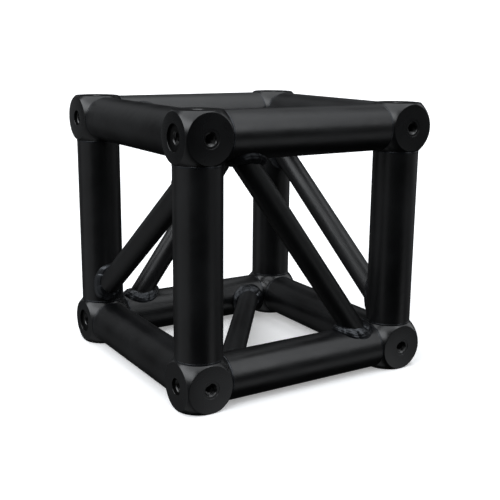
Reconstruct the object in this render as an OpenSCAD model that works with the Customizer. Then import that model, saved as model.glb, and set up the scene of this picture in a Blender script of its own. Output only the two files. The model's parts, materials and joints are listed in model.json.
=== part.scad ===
// Box corner section of a four-chord lighting truss, in millimetres: eight machined corner
// nodes joined by twelve chord tubes, with one diagonal brace in each of the six faces and
// a weld bead at every joint. The origin is the centre of the cube, where the centre lines
// of all the trusses that can be bolted to it meet. +Z is up and -Y is the front.

/* [Frame] */
// Distance between the centre lines of neighbouring chords
chord_pitch = 239; // [200:1:400]
// Outside diameter of the chord tubes
chord_d = 48; // [46:0.5:49]
// Wall thickness of the chord tubes
chord_wall = 3; // [2:0.5:4]

/* [Braces] */
// Outside diameter of the brace tubes
brace_d = 25; // [18:0.5:26]
// Wall thickness of the brace tubes
brace_wall = 2; // [1.5:0.5:3]
// Distance along a chord from the node's centre to the brace's centre line
brace_inset = 31.5; // [31:0.5:45]

/* [Corner nodes] */
// Size of a corner node across its flat faces
node_size = 50; // [50:1:56]
// Diameter of the round flat that is left on each side of a node
node_face_d = 48; // [44:0.5:49]
// Length of the turned spigot that locates a chord tube
spigot_len = 8; // [4:1:14]

/* [Bolt holes] */
// Major diameter of the thread in each bolt hole
thread_d = 12; // [8:1:12]
// Depth of a bolt hole below the node's face, front, back, top and bottom
hole_depth = 18; // [12:0.5:18]
// Depth of a bolt hole below the node's face, left and right
side_hole_depth = 20; // [14:0.5:20]
// Diameter of the countersink at the mouth of a thread
countersink_d = 13.5; // [12.5:0.5:15]
// Diameter of the shallow turned seat, front, back, top and bottom
seat_d = 18; // [16:0.5:20]
// Depth of the shallow turned seat
seat_depth = 0.4; // [0.2:0.1:1]
// Diameter of the larger counterbore, on one diagonal of the left and right faces
wide_bore_d = 26; // [20:0.5:28]
// Diameter of the smaller counterbore, on the other diagonal
narrow_bore_d = 17; // [16:0.5:19]
// Depth of both counterbores
counterbore_depth = 3; // [2:0.5:7]

/* [Welds] */
// Leg of the fillet weld round each brace end
fillet_leg = 4.5; // [3:0.5:4.5]
// Width of the weld ring between a chord tube and a node
ring_width = 1.6; // [1:0.2:2.4]
// How far the weld ring stands proud of the tube
ring_crown = 0.4; // [0.2:0.1:0.8]

/* [Hidden] */
$fn = 96;
half_pitch = chord_pitch / 2;
half_node = node_size / 2;
chord_r = chord_d / 2;
brace_r = brace_d / 2;
thread_r = thread_d / 2;
// the ball that turns the cube's edges off and leaves the round flats
node_ball_r = norm([node_face_d / 2, half_node]);
spigot_clearance = 0.1;
spigot_r = chord_r - chord_wall - spigot_clearance;
chord_len = chord_pitch - node_size - 2 * ring_width;
// fit-up gap between a coped brace end and the chord
root_gap = 0.1;
drill_point = 118;
tip_len = thread_r / tan(drill_point / 2);
overcut = 1;

// Every place is a vector of -1, 0 and 1: three signs name a corner, two name the chord
// that runs along the remaining axis, and one names a face of the cube.
STEPS = [-1, 0, 1];
PLACES = [for (z = STEPS, y = STEPS, x = STEPS) [x, y, z]];
function size_of(p) = abs(p.x) + abs(p.y) + abs(p.z);
CORNERS = [for (p = PLACES) if (size_of(p) == 3) p];
CHORDS = [for (p = PLACES) if (size_of(p) == 2) p];

// A brace lies in a face and climbs along rise while it moves along run. Neighbouring
// faces lean so that no two braces meet at the same end of a chord.
// Each row is [face, rise, run].
BRACES = [
    [[0, -1, 0], [0, 0, 1], [-1, 0, 0]],
    [[0, 1, 0], [0, 0, 1], [1, 0, 0]],
    [[-1, 0, 0], [0, 1, 0], [0, 0, -1]],
    [[1, 0, 0], [0, 1, 0], [0, 0, 1]],
    [[0, 0, -1], [0, 1, 0], [1, 0, 0]],
    [[0, 0, 1], [0, 1, 0], [-1, 0, 0]],
];

WORDS = [["_left", "", "_right"], ["_front", "", "_back"], ["_bottom", "", "_top"]];
function place(p) = str(WORDS[2][p.z + 1], WORDS[1][p.y + 1], WORDS[0][p.x + 1]);
function corner_name(p) = str("corner_node", place(p));
function ring_name(p) = str("node_weld", place(p));
function chord_name(p) = str("chord", place(p));
function brace_name(b) = str("brace", place(b[0]));
function fillet_name(b) = str("brace_weld", place(b[0]));

// Turns +Z to point along v
module facing(v) {
    rotate([0, acos(v.z / norm(v)), atan2(v.y, v.x)]) children();
}

// Runs its children once for each axis of a corner, with +Z away from the cube's centre
// and the node's centre at the origin
module each_outward(p) {
    for (axis = [[p.x, 0, 0], [0, p.y, 0], [0, 0, p.z]]) facing(axis) {
        $axis = axis;
        children();
    }
}

// A blind threaded hole drawn at its major diameter, with its drill point and a
// countersunk mouth at height top; depth is measured from the node's flat face
module bolt_hole(top, depth) {
    countersink_depth = (countersink_d - thread_d) / 2;
    translate([0, 0, half_node - depth]) cylinder(h = depth + overcut, r = thread_r);
    translate([0, 0, half_node - depth - tip_len]) cylinder(h = tip_len, r1 = 0, r2 = thread_r);
    translate([0, 0, top - countersink_depth])
        cylinder(h = countersink_depth, d1 = thread_d, d2 = countersink_d);
}

// The recess above a bolt hole
module recess(d, depth) {
    translate([0, 0, half_node - depth]) cylinder(h = depth + overcut, d = d);
}

module plain_hole() {
    bolt_hole(half_node - seat_depth, hole_depth);
    recess(seat_d, seat_depth);
}

module side_hole(wide) {
    bolt_hole(half_node - counterbore_depth, side_hole_depth);
    recess(wide ? wide_bore_d : narrow_bore_d, counterbore_depth);
}

module corner_node(p) {
    color("#2c2d2f") translate(half_pitch * p) difference() {
        union() {
            intersection() {
                cube(node_size, center = true);
                sphere(r = node_ball_r);
            }
            each_outward(-p) cylinder(h = half_node + ring_width + spigot_len, r = spigot_r);
        }
        each_outward(p) {
            if ($axis.x == 0) plain_hole();
            else side_hole(wide = p.y != p.z);
        }
    }
}

module chord(p) {
    along = [1 - abs(p.x), 1 - abs(p.y), 1 - abs(p.z)];
    color("#26272a") translate(half_pitch * p) facing(along) difference() {
        cylinder(h = chord_len, r = chord_r, center = true);
        cylinder(h = chord_len + 2 * overcut, r = chord_r - chord_wall, center = true);
    }
}

// Where a brace's centre line meets the chord at its low or high end
function brace_end(b, side) =
    half_pitch * (b[0] + side * b[1]) + side * (half_pitch - brace_inset) * b[2];

// A solid bar of radius r along the whole centre line of a brace
module brace_bar(b, r) {
    low = brace_end(b, -1);
    span = brace_end(b, 1) - low;
    translate(low) facing(span) cylinder(h = norm(span), r = r);
}

// A bar of radius r along the chord at one end of a brace
module chord_bar(b, side, r) {
    translate(half_pitch * (b[0] + side * b[1])) facing(b[2])
        cylinder(h = chord_pitch, r = r, center = true);
}

module brace(b) {
    color("#2a2b2e") difference() {
        brace_bar(b, brace_r);
        brace_bar(b, brace_r - brace_wall);
        for (side = [-1, 1]) chord_bar(b, side, chord_r + root_gap);
    }
}

// The saddle-shaped fillet round both ends of a brace
module brace_weld(b) {
    color("#3a3b3e") for (side = [-1, 1]) difference() {
        intersection() {
            brace_bar(b, brace_r + fillet_leg);
            chord_bar(b, side, chord_r + fillet_leg);
        }
        brace_bar(b, brace_r);
        chord_bar(b, side, chord_r);
    }
}

// Three rings, each between the node's inner flat and the end of a chord tube
module node_weld(p) {
    profile = [
        [spigot_r, 0],
        [chord_r, 0],
        [chord_r + ring_crown, ring_width / 4],
        [chord_r + ring_crown, ring_width * 3 / 4],
        [chord_r, ring_width],
        [spigot_r, ring_width],
    ];
    color("#38393c") translate(half_pitch * p) each_outward(-p)
        translate([0, 0, half_node]) rotate_extrude() polygon(profile);
}

for (p = CORNERS) corner_node(p);
for (p = CHORDS) chord(p);
for (b = BRACES) brace(b);
for (p = CORNERS) node_weld(p);
for (b = BRACES) brace_weld(b);
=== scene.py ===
"""Looks for the box corner of a lighting truss: black coats, cut threads and weld beads."""
import json
import math
from collections import namedtuple

import bmesh
import bpy
from mathutils import Matrix, Vector, noise


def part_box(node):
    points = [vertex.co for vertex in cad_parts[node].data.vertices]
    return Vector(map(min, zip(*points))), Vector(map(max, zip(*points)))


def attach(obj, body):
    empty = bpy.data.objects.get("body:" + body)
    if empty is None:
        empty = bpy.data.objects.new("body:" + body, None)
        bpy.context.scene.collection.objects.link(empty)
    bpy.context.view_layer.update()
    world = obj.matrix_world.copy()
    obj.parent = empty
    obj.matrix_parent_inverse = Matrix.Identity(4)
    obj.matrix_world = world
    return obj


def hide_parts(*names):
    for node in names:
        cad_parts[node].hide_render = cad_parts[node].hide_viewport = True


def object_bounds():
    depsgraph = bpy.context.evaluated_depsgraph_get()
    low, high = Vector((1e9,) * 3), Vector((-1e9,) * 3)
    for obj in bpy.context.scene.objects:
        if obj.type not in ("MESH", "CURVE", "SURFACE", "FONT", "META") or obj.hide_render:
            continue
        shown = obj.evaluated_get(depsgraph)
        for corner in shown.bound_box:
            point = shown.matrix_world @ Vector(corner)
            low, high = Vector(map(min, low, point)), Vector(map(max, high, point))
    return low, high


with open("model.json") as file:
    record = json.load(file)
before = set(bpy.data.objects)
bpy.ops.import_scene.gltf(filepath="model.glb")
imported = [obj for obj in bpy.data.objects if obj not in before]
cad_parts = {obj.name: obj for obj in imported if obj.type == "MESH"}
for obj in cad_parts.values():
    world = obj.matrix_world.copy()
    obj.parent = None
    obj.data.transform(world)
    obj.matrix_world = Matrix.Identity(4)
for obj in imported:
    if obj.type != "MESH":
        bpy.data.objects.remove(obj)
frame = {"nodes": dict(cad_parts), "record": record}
cad_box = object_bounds()

MM = 0.001
TURN = 2 * math.pi

# The frame's own sizes
CHORD_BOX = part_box("chord_top_front")
CHORD_R = (CHORD_BOX[1].y - CHORD_BOX[0].y) / 2
HALF_PITCH = (CHORD_BOX[1].z + CHORD_BOX[0].z) / 2
TUBE_END = CHORD_BOX[1].x
NODE_HALF = cad_box[1][2] - HALF_PITCH
BRACE_R = (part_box("brace_front")[1].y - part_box("brace_front")[0].y) / 2
THREAD_R = frame["record"]["mounts"][0]["dims"]["hole_r_mm"] * MM
FLOOR_Z = cad_box[0][2]

# Sizes that the frame's boxes don't give, as in the part's own source
BRACE_INSET = 31.5 * MM
HOLE_DEPTH = 18 * MM
SIDE_HOLE_DEPTH = 20 * MM
SEAT_R = 9 * MM
SEAT_DEPTH = 0.4 * MM
WIDE_R = 13 * MM
NARROW_R = 8.5 * MM
COUNTERBORE_DEPTH = 3 * MM
COUNTERSINK_DEPTH = 0.75 * MM
DRILL_POINT = math.radians(118)
FLAT_R = 24 * MM
BALL_R = math.hypot(FLAT_R, NODE_HALF)
SPIGOT_R = 20.9 * MM
SPIGOT_LENGTH = 9.6 * MM
SPIGOT_END = NODE_HALF + SPIGOT_LENGTH

# Finer detail than the part's own source holds
THREAD_PITCH = 1.75 * MM
THREAD_DEPTH = 0.9 * MM
MINOR_R = THREAD_R - THREAD_DEPTH
# One turn of the thread, as shares of the pitch and radii: both edges of its crest, then of its root
THREAD_FORM = ((0, MINOR_R), (0.25, MINOR_R), (0.5625, THREAD_R), (0.6875, THREAD_R))
# Radius of the rounded edge of a flat, and width of the smaller breaks on other edges
EDGE_R = 0.5 * MM
EDGE_BREAK = 0.2 * MM
EDGE_STEPS = 4
BALL_STEPS = 6
SEGMENTS = 64
SHARP_ANGLE = math.radians(28)
MERGE_DIST = 0.002 * MM

# Every place is a vector of -1, 0 and 1, as in the part's own source
STEPS = (-1, 0, 1)
PLACES = [Vector((x, y, z)) for z in STEPS for y in STEPS for x in STEPS]
CORNERS = [p for p in PLACES if sum(map(abs, p)) == 3]
CHORDS = [p for p in PLACES if sum(map(abs, p)) == 2]
# Each brace: its face, the way it rises and the way it runs meanwhile
BRACES = [
    (Vector((0, -1, 0)), Vector((0, 0, 1)), Vector((-1, 0, 0))),
    (Vector((0, 1, 0)), Vector((0, 0, 1)), Vector((1, 0, 0))),
    (Vector((-1, 0, 0)), Vector((0, 1, 0)), Vector((0, 0, -1))),
    (Vector((1, 0, 0)), Vector((0, 1, 0)), Vector((0, 0, 1))),
    (Vector((0, 0, -1)), Vector((0, 1, 0)), Vector((1, 0, 0))),
    (Vector((0, 0, 1)), Vector((0, 1, 0)), Vector((-1, 0, 0))),
]
WORDS = (("_left", "", "_right"), ("_front", "", "_back"), ("_bottom", "", "_top"))


def place(p):
    """The end of a node's name, such as _top_front_left."""
    return "".join(WORDS[axis][int(p[axis]) + 1] for axis in (2, 1, 0))


def unit(axis, sign):
    """The unit vector along one axis, either way."""
    return Vector([sign if i == axis else 0 for i in range(3)])


# ---------------------------------------------------------------- materials

# Noise scales, in features a metre
MOTTLE_SCALE = 22
WAVE_SCALE = 75
SMEAR_SCALE = 260
PEEL_SCALE = 650
MARK_SCALE = 2200
GRAIN_SCALE = 2600
# Die lines are long in the first direction and fine in the other two
DIE_LINE_SCALE = (3, 420, 420)
# Most values of a noise texture lie in this range
NOISE_LOW = 0.3
NOISE_HIGH = 0.7
# How far a coat's roughness strays below and above its own value
ROUGH_BELOW = 0.04
ROUGH_ABOVE = 0.05
# How many times shallower the grain is than the orange peel
PEEL_TO_GRAIN = 6
WAVE_DEPTH = 0.25 * MM
DIE_LINE_DEPTH = 0.005 * MM
MARK_DEPTH = 0.01 * MM
LATHE_DEPTH = 0.003 * MM
LATHE_PITCH = 0.7 * MM
TUBE_ROUGH = 0.35
BRACE_ROUGH = 0.42

Coat = namedtuple("Coat", "material tree shader where normal")


def new_material(name):
    """A node-based material and its shader."""
    material = bpy.data.materials.new(name)
    material.use_nodes = True
    return material, material.node_tree.nodes["Principled BSDF"]


def put(tree, kind, inputs, **settings):
    """A shader node with its settings; each input is linked to a socket or set to a value."""
    node = tree.nodes.new("ShaderNode" + kind)
    for key, value in settings.items():
        setattr(node, key, value)
    for key, value in inputs.items():
        if isinstance(value, bpy.types.NodeSocket):
            tree.links.new(value, node.inputs[key])
        else:
            node.inputs[key].default_value = value
    return node


def maths(tree, operation, *values):
    """The result of a math node."""
    return put(tree, "Math", dict(enumerate(values)), operation=operation).outputs[0]


def noise_map(tree, where, scale, detail):
    """The value of a noise texture at a point."""
    return put(tree, "TexNoise", {"Vector": where, "Scale": scale, "Detail": detail}).outputs["Fac"]


def span(tree, value, low, high):
    """A noise value spread over a range."""
    source = {"Value": value, "From Min": NOISE_LOW, "From Max": NOISE_HIGH}
    return put(tree, "MapRange", {**source, "To Min": low, "To Max": high}).outputs["Result"]


def ramp(tree, value, dark, light):
    """A colour between two, for a noise value."""
    node = put(tree, "ValToRGB", {"Fac": value})
    low, high = node.color_ramp.elements
    low.position, high.position = NOISE_LOW, NOISE_HIGH
    low.color, high.color = (*dark, 1), (*light, 1)
    return node.outputs["Color"]


def bump(tree, height, distance, under=None):
    """A bumped normal, over another one if there is one."""
    inputs = {"Height": height, "Distance": distance, "Strength": 1}
    if under is not None:
        inputs["Normal"] = under
    return put(tree, "Bump", inputs).outputs["Normal"]


def black_coat(name, dark, light, rough, peel):
    """A satin black coat over aluminium: slightly uneven in colour and gloss, with orange peel."""
    material, shader = new_material(name)
    tree = material.node_tree
    where = put(tree, "TexCoord", {}).outputs["Object"]
    mottle = noise_map(tree, where, scale=MOTTLE_SCALE, detail=3)
    fine = noise_map(tree, where, scale=PEEL_SCALE, detail=2)
    grain = noise_map(tree, where, scale=GRAIN_SCALE, detail=1)
    gloss = span(tree, mottle, rough - ROUGH_BELOW, rough + ROUGH_ABOVE)
    tree.links.new(ramp(tree, mottle, dark, light), shader.inputs["Base Color"])
    tree.links.new(gloss, shader.inputs["Roughness"])
    normal = bump(tree, fine, peel)
    normal = bump(tree, grain, peel / PEEL_TO_GRAIN, normal)
    tree.links.new(normal, shader.inputs["Normal"])
    return Coat(material, tree, shader, where, normal)


def tube_coat(name, along, rough):
    """The coat on a drawn tube, with faint die lines that run lengthwise and slight waves."""
    dark, light = (0.0015, 0.0016, 0.0018), (0.0055, 0.0059, 0.0065)
    coat = black_coat(name, dark, light, rough, peel=0.01 * MM)
    turn = along.rotation_difference(Vector((1, 0, 0))).to_euler()
    inputs = {"Vector": coat.where, "Rotation": turn, "Scale": DIE_LINE_SCALE}
    lined = put(coat.tree, "Mapping", inputs).outputs["Vector"]
    lines = noise_map(coat.tree, lined, scale=1, detail=2)
    waves = noise_map(coat.tree, coat.where, scale=WAVE_SCALE, detail=2)
    normal = bump(coat.tree, lines, DIE_LINE_DEPTH, coat.normal)
    normal = bump(coat.tree, waves, WAVE_DEPTH, normal)
    coat.tree.links.new(normal, coat.shader.inputs["Normal"])
    return coat.material


def node_coat():
    """The coat on a turned node, over faint rings from the lathe on its flats."""
    dark, light = (0.0025, 0.0027, 0.003), (0.0045, 0.0048, 0.0053)
    coat = black_coat("node_coat", dark, light, rough=0.26, peel=0.014 * MM)
    radius = put(coat.tree, "Attribute", {}, attribute_name="face_radius").outputs["Fac"]
    turns = maths(coat.tree, "MULTIPLY", radius, TURN / LATHE_PITCH)
    rings = maths(coat.tree, "SINE", turns)
    normal = bump(coat.tree, rings, LATHE_DEPTH, coat.normal)
    coat.tree.links.new(normal, coat.shader.inputs["Normal"])
    return coat.material


def weld_coat():
    """The coat over a weld bead: a little paler and glossier than on the tubes, with a blue cast."""
    dark, light = (0.004, 0.0043, 0.005), (0.009, 0.0095, 0.011)
    coat = black_coat("weld_coat", dark, light, rough=0.27, peel=0.008 * MM)
    coat.shader.inputs["Specular Tint"].default_value = (0.88, 0.93, 1, 1)
    return coat.material


def recess_painted_shade():
    """Painted shade inside a counterbore: a coat darker and duller than the one outside it, with weak
    reflections.
    """
    dark, light = (0.001, 0.001, 0.001), (0.002, 0.002, 0.002)
    coat = black_coat("recess_painted_shade", dark, light, rough=0.55, peel=0.01 * MM)
    coat.shader.inputs["Specular IOR Level"].default_value = 0.15
    return coat.material


def bare_metal_painted_shade():
    """The cut aluminium of a thread, with tool marks and darker smears, all painted far darker than
    aluminium as painted shade inside the hole.
    """
    dark, light = (0.02, 0.02, 0.02), (0.11, 0.11, 0.11)
    material, shader = new_material("bare_metal_painted_shade")
    tree = material.node_tree
    where = put(tree, "TexCoord", {}).outputs["Object"]
    smear = noise_map(tree, where, scale=SMEAR_SCALE, detail=3)
    marks = noise_map(tree, where, scale=MARK_SCALE, detail=2)
    tree.links.new(ramp(tree, smear, dark, light), shader.inputs["Base Color"])
    tree.links.new(span(tree, smear, low=0.25, high=0.45), shader.inputs["Roughness"])
    tree.links.new(bump(tree, marks, MARK_DEPTH), shader.inputs["Normal"])
    shader.inputs["Metallic"].default_value = 1
    return material


NODE_COAT = node_coat()
WELD_COAT = weld_coat()
# The recess coat is painted shade for the inside of a counterbore
RECESS_PAINTED_SHADE = recess_painted_shade()
# The bare metal is painted dark, as shade inside the holes
BARE_METAL_PAINTED_SHADE = bare_metal_painted_shade()


# ---------------------------------------------------------------- meshes

def finish_mesh(bm, name, materials):
    """A piece from a bmesh: smooth but for its sharp edges, riding on the part's one body."""
    bmesh.ops.recalc_face_normals(bm, faces=bm.faces)
    for face in bm.faces:
        face.smooth = True
    for edge in bm.edges:
        if len(edge.link_faces) == 2 and edge.calc_face_angle() > SHARP_ANGLE:
            edge.smooth = False
    mesh = bpy.data.meshes.new(name)
    bm.to_mesh(mesh)
    bm.free()
    for material in materials:
        mesh.materials.append(material)
    piece = bpy.data.objects.new(name, mesh)
    bpy.context.scene.collection.objects.link(piece)
    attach(piece, "root")
    return piece


def add_torus(bm, rings):
    """A closed band of faces through rings of points, the last ring joined to the first."""
    grid = [[bm.verts.new(at) for at in ring] for ring in rings]
    for i, here in enumerate(grid):
        there = grid[(i + 1) % len(grid)]
        for k in range(len(here)):
            after = (k + 1) % len(here)
            bm.faces.new((here[k], here[after], there[after], there[k]))


# ---------------------------------------------------------------- corner nodes
# A face of a node is built as rows of points, from the rounded ball in to its own axis. A
# row holds one (radius, height) pair for each of SEGMENTS turns about that axis.

def spun(profile):
    """One row for each point of a turned profile."""
    return [[point] * SEGMENTS for point in profile]


def ball_rows():
    """Rows from where the next face's rows end, over the ball and the rounded edge of the flat."""
    centre_r = math.sqrt((BALL_R - EDGE_R) ** 2 - (NODE_HALF - EDGE_R) ** 2)
    edge_angle = math.atan2(centre_r, NODE_HALF - EDGE_R)
    rows = []
    for step in range(BALL_STEPS):
        row = []
        for k in range(SEGMENTS):
            turn = TURN * k / SEGMENTS
            reach = math.atan(1 / max(abs(math.cos(turn)), abs(math.sin(turn))))
            angle = reach + (edge_angle - reach) * step / BALL_STEPS
            row.append((BALL_R * math.sin(angle), BALL_R * math.cos(angle)))
        rows.append(row)
    for step in range(EDGE_STEPS + 1):
        angle = edge_angle * (1 - step / EDGE_STEPS)
        radius = centre_r + EDGE_R * math.sin(angle)
        height = NODE_HALF - EDGE_R + EDGE_R * math.cos(angle)
        rows += spun([(radius, height)])
    return rows


def thread_rows(high, low):
    """Rows that wind down a cut thread, so that every crest and root follows the helix."""
    rows = []
    for pitch in range(-1, math.ceil((high - low) / THREAD_PITCH) + 1):
        for share, radius in THREAD_FORM:
            row = []
            for k in range(SEGMENTS):
                height = high - THREAD_PITCH * (pitch + share + k / SEGMENTS)
                if height >= high:
                    row.append((THREAD_R, high))
                elif height <= low:
                    row.append((MINOR_R, low))
                else:
                    row.append((radius, height))
            rows.append(row)
    return rows


def stitch(bm, grid, changes, threaded):
    """Faces between neighbouring rows, with the next material from each row in changes on. At its
    seam a thread's row runs on into the row one pitch below it."""
    for i in range(len(grid) - 1):
        for k in range(SEGMENTS):
            after = (k + 1) % SEGMENTS
            ahead = len(THREAD_FORM) if after == 0 and i in threaded and i + 1 in threaded else 0
            if ahead and i + 1 + ahead not in threaded:
                continue
            near, far = grid[i], grid[i + 1]
            corners = (near[k], far[k], grid[i + 1 + ahead][after], grid[i + ahead][after])
            bm.faces.new(corners).material_index = sum(i >= row for row in changes)


def add_face(bm, p, out, rows, changes, threaded):
    """One face of the node at p, from its rows."""
    layer = bm.verts.layers.float["face_radius"]
    u = Vector((out.y, out.z, out.x))
    v = out.cross(u)
    grid = []
    for row in rows:
        line = []
        for k, (radius, height) in enumerate(row):
            turn = TURN * k / SEGMENTS
            across = u * math.cos(turn) + v * math.sin(turn)
            vert = bm.verts.new(p * HALF_PITCH + out * height + across * radius)
            vert[layer] = radius
            line.append(vert)
        grid.append(line)
    stitch(bm, grid, changes, threaded)


def add_spigot_face(bm, p, out):
    """An inward face, with the turned spigot that a chord tube slides over."""
    rows = ball_rows() + spun([
        (SPIGOT_R, NODE_HALF),
        (SPIGOT_R, SPIGOT_END - EDGE_BREAK),
        (SPIGOT_R - EDGE_BREAK, SPIGOT_END),
        (0, SPIGOT_END),
    ])
    add_face(bm, p, out, rows, (), ())


def add_hole_face(bm, p, out, recess_r, recess_depth, depth):
    """An outward face, with its recess, countersink, thread and drill point."""
    floor = NODE_HALF - recess_depth
    bottom = NODE_HALF - depth
    chamfer = min(EDGE_BREAK, recess_depth / 2)
    rows = ball_rows() + spun([
        (recess_r + chamfer, NODE_HALF),
        (recess_r, NODE_HALF - chamfer),
        (recess_r, floor),
        (THREAD_R + COUNTERSINK_DEPTH, floor),
    ])
    # From the countersink down, the bare metal is painted dark as shade inside the hole
    bare_from = len(rows) - 1
    # In a counterbore, the wall and floor take the recess coat's painted shade
    shade_from = bare_from - 2 if recess_depth == COUNTERBORE_DEPTH else bare_from
    thread = thread_rows(floor - COUNTERSINK_DEPTH, bottom + THREAD_PITCH)
    threaded = range(len(rows), len(rows) + len(thread))
    tip = bottom - MINOR_R / math.tan(DRILL_POINT / 2)
    rows += thread + spun([(MINOR_R, bottom), (0, tip)])
    add_face(bm, p, out, rows, (shade_from, bare_from), threaded)


def add_node(p):
    """A turned node with its flats, rounded edges, threaded holes and spigots."""
    bm = bmesh.new()
    bm.verts.layers.float.new("face_radius")
    for axis in range(3):
        inward = unit(axis, -p[axis])
        outward = unit(axis, p[axis])
        add_spigot_face(bm, p, inward)
        if axis == 0:
            recess_r = WIDE_R if p.y != p.z else NARROW_R
            add_hole_face(bm, p, outward, recess_r, COUNTERBORE_DEPTH, SIDE_HOLE_DEPTH)
        else:
            add_hole_face(bm, p, outward, SEAT_R, SEAT_DEPTH, HOLE_DEPTH)
    bmesh.ops.remove_doubles(bm, verts=bm.verts, dist=MERGE_DIST)
    piece = finish_mesh(bm, "corner" + place(p), [NODE_COAT, RECESS_PAINTED_SHADE, BARE_METAL_PAINTED_SHADE])
    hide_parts("corner_node" + place(p))


# ---------------------------------------------------------------- weld beads

BEAD_LEG = 7.2 * MM
BEAD_BULGE = 1.3 * MM
# How far a bead's edges lie under the surfaces that it joins
BEAD_SINK = 0.4 * MM
BEAD_STEPS = 330
BEAD_PROFILE = 18
# Ripples are the fine marks across a bead, and lumps the slower swells along it
RIPPLE_PITCH = 3.4 * MM
RIPPLE_HEIGHT = 0.07 * MM
LUMP_PITCH = 13 * MM
LUMP_HEIGHT = 0.8 * MM
# Passes are the runs of weld that lie side by side in a bead
PASSES = 3
PASS_HEIGHT = 0.3 * MM
# Noise that makes a fillet uneven: scales in features a metre, then how much it moves each thing
DRIFT_SCALE = 90
SWELL_SCALE = 120
JITTER_SCALE = 500
LEG_DRIFT = 0.14
LUMP_DRIFT = 0.25
PASS_DRIFT = 0.5
RIPPLE_JITTER = 0.3
# How far, in ripples, a ripple's ends trail its middle
RIPPLE_BOW = 0.9
# The bulge between lumps, and how much a lump adds to it
LOW_BULGE = 0.75
LUMP_BULGE = 0.45
# The same for the rings between nodes and chords, whose edges lie RING_SINK under the tube's
# surface and whose inner side lies RING_ROOT under it
RING_WIDTH = 2.2 * MM
RING_CROWN = 0.32 * MM
RING_SINK = 0.12 * MM
RING_ROOT = 2 * BEAD_SINK
RING_STEPS = 300
RING_DRIFT_SCALE = 150
RING_JITTER_SCALE = 300
RING_WIDTH_DRIFT = 0.12
RING_CROWN_DRIFT = 0.3
RING_RIPPLE_SHARE = 0.4
RING_RIPPLE_JITTER = 0.4
RING_RIPPLE_BOW = 0.5


def scallop(turns):
    """A row of rounded humps with a sharp valley at each whole number of turns."""
    return 1 - (2 * (turns % 1) - 1) ** 2


def arc_lengths(points):
    """How far along a closed line of points each one is, and the whole length."""
    total, lengths = 0, []
    for i, at in enumerate(points):
        lengths.append(total)
        total += (points[(i + 1) % len(points)] - at).length
    return lengths, total


def slope_of(brace):
    """The way a brace points, from its low end to its high one."""
    _, rise, run = brace
    return (rise * HALF_PITCH + run * (HALF_PITCH - BRACE_INSET)).normalized()


def saddle(brace, side):
    """The line where a brace meets a chord: points, chord normals and brace normals round it."""
    face, rise, run = brace
    middle = HALF_PITCH * (face + side * rise)
    end = middle + side * (HALF_PITCH - BRACE_INSET) * run
    away = -side * slope_of(brace)
    across = run.cross(away).normalized()
    ahead = across.cross(away)
    points, chord_normals, brace_normals = [], [], []
    for k in range(BEAD_STEPS):
        turn = TURN * k / BEAD_STEPS
        out = ahead * math.cos(turn) + across * math.sin(turn)
        start = end + out * BRACE_R - middle
        flat_start = start - run * start.dot(run)
        flat_away = away - run * away.dot(run)
        a, b = flat_away.dot(flat_away), flat_away.dot(flat_start)
        reach = (-b + math.sqrt(b * b - a * (flat_start.dot(flat_start) - CHORD_R ** 2))) / a
        normal = flat_start + flat_away * reach
        points.append(middle + start + away * reach)
        chord_normals.append(normal / CHORD_R)
        brace_normals.append(out)
    return middle, run, away, points, chord_normals, brace_normals


def onto_chord(at, middle, run):
    """A point moved straight out or in to the chord's surface."""
    offset = at - middle
    along = run * offset.dot(run)
    return middle + along + (offset - along).normalized() * CHORD_R


def fillet_height(at, normal, s, lump, ripple):
    """How far a fillet stands above the flat between its edges, a share s of the way across."""
    arch = 4 * s * (1 - s)
    lag = RIPPLE_BOW * (2 * s - 1) ** 2 + RIPPLE_JITTER * noise.noise(at * JITTER_SCALE)
    run = PASSES * s + PASS_DRIFT * noise.noise(at * SWELL_SCALE)
    height = BEAD_BULGE * arch * (LOW_BULGE + LUMP_BULGE * lump)
    height += RIPPLE_HEIGHT * scallop(ripple - lag) * math.sqrt(arch)
    height += PASS_HEIGHT * scallop(run) * math.sqrt(arch)
    height += LUMP_HEIGHT / 2 * noise.noise(at * SWELL_SCALE + normal * s) * arch
    return height


def add_saddle_bead(bm, brace, side):
    """A rippled fillet round one end of a brace."""
    middle, run, away, points, chord_normals, brace_normals = saddle(brace, side)
    lengths, total = arc_lengths(points)
    ripples = round(total / RIPPLE_PITCH)
    lumps = round(total / LUMP_PITCH)
    rings = []
    for i, at in enumerate(points):
        tangent = (points[(i + 1) % len(points)] - points[i - 1]).normalized()
        outward = tangent.cross(chord_normals[i]).normalized()
        outward *= math.copysign(1, outward.dot(brace_normals[i]))
        share = lengths[i] / total
        drift = noise.noise(at * DRIFT_SCALE)
        lump = scallop(share * lumps + LUMP_DRIFT * drift)
        leg = BEAD_LEG * (1 + LEG_DRIFT * drift) + LUMP_HEIGHT * lump
        brace_toe = at + away * leg
        chord_toe = onto_chord(at + outward * leg, middle, run)
        crown = ((brace_toe + chord_toe) / 2 - at).normalized()
        ring = [brace_toe - brace_normals[i] * BEAD_SINK]
        for j in range(BEAD_PROFILE + 1):
            s = j / BEAD_PROFILE
            height = fillet_height(at, chord_normals[i], s, lump, share * ripples)
            ring.append(brace_toe.lerp(chord_toe, s) + crown * height)
        ring.append(chord_toe - chord_normals[i] * BEAD_SINK)
        ring.append(at - (chord_normals[i] + brace_normals[i]) * BEAD_SINK)
        rings.append(ring)
    add_torus(bm, rings)


def add_brace_beads(brace):
    """The beads at both ends of a brace."""
    bm = bmesh.new()
    for side in (-1, 1):
        add_saddle_bead(bm, brace, side)
    piece = finish_mesh(bm, "bead_brace" + place(brace[0]), [WELD_COAT])
    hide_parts("brace_weld" + place(brace[0]))


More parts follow.
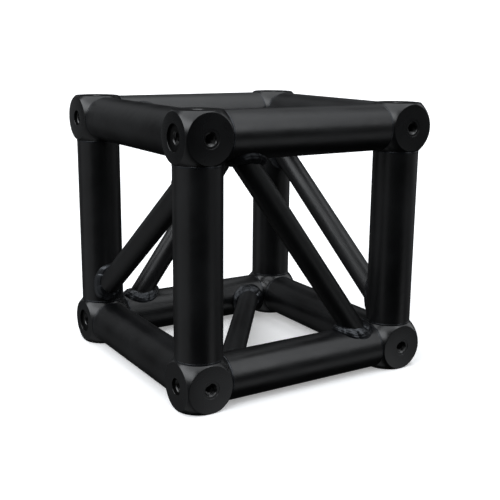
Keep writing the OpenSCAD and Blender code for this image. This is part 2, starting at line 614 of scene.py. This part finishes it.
def ring_height(at, s, ripple):
    """How far a ring bead stands off the tube's surface, a share s of the way across."""
    arch = 4 * s * (1 - s)
    lag = RING_RIPPLE_BOW * (2 * s - 1) ** 2 + RING_RIPPLE_JITTER * noise.noise(at * RING_JITTER_SCALE)
    swell = 1 + RING_CROWN_DRIFT * noise.noise(at * SWELL_SCALE)
    height = RING_CROWN * math.sqrt(arch) * swell
    return height + RING_RIPPLE_SHARE * RIPPLE_HEIGHT * scallop(ripple - lag) * arch - RING_SINK


def add_ring_bead(bm, middle, axis):
    """A low rippled bead between a node's flat and the end of a chord tube."""
    u = Vector((axis.y, axis.z, axis.x))
    v = axis.cross(u)
    seam = (NODE_HALF + HALF_PITCH - TUBE_END) / 2
    ripples = round(TURN * CHORD_R / RIPPLE_PITCH)
    rings = []
    for i in range(RING_STEPS):
        share = i / RING_STEPS
        out = u * math.cos(TURN * share) + v * math.sin(TURN * share)
        at = middle + out * CHORD_R
        width = RING_WIDTH * (1 + RING_WIDTH_DRIFT * noise.noise(at * RING_DRIFT_SCALE))
        ring = []
        for j in range(BEAD_PROFILE + 1):
            s = j / BEAD_PROFILE
            height = ring_height(at, s, share * ripples)
            ring.append(at + axis * (seam + (s - 0.5) * width) + out * height)
        ring.append(at + axis * (seam + width / 2) - out * RING_ROOT)
        ring.append(at + axis * (seam - width / 2) - out * RING_ROOT)
        rings.append(ring)
    add_torus(bm, rings)


def add_node_beads(p):
    """The three ring beads of a node."""
    bm = bmesh.new()
    for axis in range(3):
        add_ring_bead(bm, p * HALF_PITCH, unit(axis, -p[axis]))
    piece = finish_mesh(bm, "bead_node" + place(p), [WELD_COAT])
    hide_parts("node_weld" + place(p))


# ---------------------------------------------------------------- the part

def coat_tube(name, material):
    """Gives a carried-over tube its coat."""
    frame["nodes"][name].data.materials.clear()
    frame["nodes"][name].data.materials.append(material)


for p in CORNERS:
    add_node(p)
    add_node_beads(p)

CHORD_COATS = [tube_coat("tube_coat_" + "xyz"[axis], unit(axis, 1), TUBE_ROUGH) for axis in range(3)]
for p in CHORDS:
    coat_tube("chord" + place(p), CHORD_COATS[list(p).index(0)])

for brace in BRACES:
    end = place(brace[0])
    coat_tube("brace" + end, tube_coat("brace_coat" + end, slope_of(brace), BRACE_ROUGH))
    add_brace_beads(brace)


# ---------------------------------------------------------------- studio

# Angles in radians, and the lens and its sensor in millimetres
CAMERA_AT = Vector((-0.4983, -0.8185, 0.2021))
CAMERA_YAW = 0.5582
CAMERA_DIP = 0.2333
CAMERA_ROLL = 0.0094
CAMERA_LENS = 62.3
CAMERA_SENSOR = 36
FLOOR_HALF = 60
FLOOR_COLOUR = (0.93, 0.93, 0.93)
FLOOR_ROUGH = 0.9
# Enough light of the floor's own to meet the white behind it with no line
FLOOR_GLOW = 0.3
# Slightly cool, and the strength of the white that only the camera sees
LIGHT_COLOUR = (0.945, 0.97, 1)
BACKDROP = 1.2
# The light from where there is no softbox
ROOM_LIGHT = 0.012
# Half the width of a softbox's soft edge, in degrees
SOFT_EDGE = 7
# Each softbox or card: the azimuth of its middle, its width, its lowest and highest edge, all in
# degrees, and its brightness. Azimuth 0 is in front of the part and 90 is on its right.
SOFTBOXES = [
    (0, 400, 54, 100, 1.9),  # the whole ceiling
    (-87, 89, 25, 52, 4.1),  # high on the left
    (34, 19, 17, 60, 3.4),  # tall, to the right of the front
    (66, 42, 34, 56, 1.1),  # high on the right
    (91, 34, 0, 34, 0.95),  # right
    (-103, 69, -95, 26, 0.31),  # left, from straight below up
    (-152, 24, -60, -10, 0.08),  # low, behind on the left
    (81, 50, -18, 2, 0.2),  # low on the right
    (37, 28, -40, -16, 0.61),  # under the front, for the undersides of the tubes
    (46, 28, -9, 7, 0.08),  # level, to the right of the front
    (185, 31, -10, 49, 0.22),  # behind
    (137, 30, 24, 50, 0.3),  # high, behind on the right
]


def add_camera():
    """The camera, in front of the part, on its left and a little above it."""
    data = bpy.data.cameras.new("camera")
    data.lens = CAMERA_LENS
    data.sensor_width = CAMERA_SENSOR
    camera = bpy.data.objects.new("camera", data)
    turn = Matrix.Rotation(-CAMERA_YAW, 4, "Z") @ Matrix.Rotation(math.pi / 2 - CAMERA_DIP, 4, "X")
    camera.matrix_world = Matrix.Translation(CAMERA_AT) @ turn @ Matrix.Rotation(CAMERA_ROLL, 4, "Z")
    bpy.context.scene.collection.objects.link(camera)
    bpy.context.scene.camera = camera


def add_floor():
    """A plain pale floor that catches the part's shadow. The part doesn't mirror it and isn't lit by
    it, as a floor so bright would hide the shading of the dark coats."""
    bm = bmesh.new()
    bmesh.ops.create_grid(bm, x_segments=1, y_segments=1, size=FLOOR_HALF)
    mesh = bpy.data.meshes.new("floor")
    bm.to_mesh(mesh)
    bm.free()
    material, shader = new_material("floor")
    shader.inputs["Base Color"].default_value = (*FLOOR_COLOUR, 1)
    shader.inputs["Roughness"].default_value = FLOOR_ROUGH
    shader.inputs["Emission Color"].default_value = (1, 1, 1, 1)
    shader.inputs["Emission Strength"].default_value = FLOOR_GLOW
    mesh.materials.append(material)
    floor = bpy.data.objects.new("floor", mesh)
    floor.location.z = FLOOR_Z
    floor.visible_glossy = False
    floor.visible_diffuse = False
    bpy.context.scene.collection.objects.link(floor)


def edge(tree, value, start, end):
    """A smooth step from 0 at start to 1 at end."""
    inputs = {"Value": value, "From Min": start, "From Max": end}
    return put(tree, "MapRange", inputs, interpolation_type="SMOOTHSTEP").outputs["Result"]


def add_softbox(tree, azimuth, elevation, total, centre, width, low, high, brightness):
    """Adds a soft rectangle to the light all round: its middle, width and height are in degrees."""
    turned = maths(tree, "SUBTRACT", azimuth, math.radians(centre))
    aside = maths(tree, "ABSOLUTE", maths(tree, "WRAP", turned, math.pi, -math.pi))
    half, soft = math.radians(width / 2), math.radians(SOFT_EDGE)
    across = edge(tree, aside, half + soft, half - soft)
    over = edge(tree, elevation, math.radians(low) - soft, math.radians(low) + soft)
    under = edge(tree, elevation, math.radians(high) + soft, math.radians(high) - soft)
    shape = maths(tree, "MULTIPLY", maths(tree, "MULTIPLY", across, over), under)
    return maths(tree, "MULTIPLY_ADD", shape, brightness, total)


def add_world():
    """Softboxes in a dim room as light, and plain white where the camera sees it."""
    world = bpy.data.worlds.new("studio")
    world.use_nodes = True
    tree = world.node_tree
    way = put(tree, "TexCoord", {}).outputs["Generated"]
    x, y, z = put(tree, "SeparateXYZ", {"Vector": way}).outputs
    azimuth = maths(tree, "ARCTAN2", x, maths(tree, "MULTIPLY", y, -1))
    elevation = maths(tree, "ARCSINE", z)
    total = ROOM_LIGHT
    for softbox in SOFTBOXES:
        total = add_softbox(tree, azimuth, elevation, total, *softbox)
    seen = put(tree, "LightPath", {}).outputs["Is Camera Ray"]
    strength = maths(tree, "MAXIMUM", total, maths(tree, "MULTIPLY", seen, BACKDROP))
    shader = tree.nodes["Background"]
    tree.links.new(strength, shader.inputs["Strength"])
    shader.inputs["Color"].default_value = (*LIGHT_COLOUR, 1)
    bpy.context.scene.world = world
    bpy.context.scene.view_settings.view_transform = "Standard"


add_camera()
add_floor()
add_world()
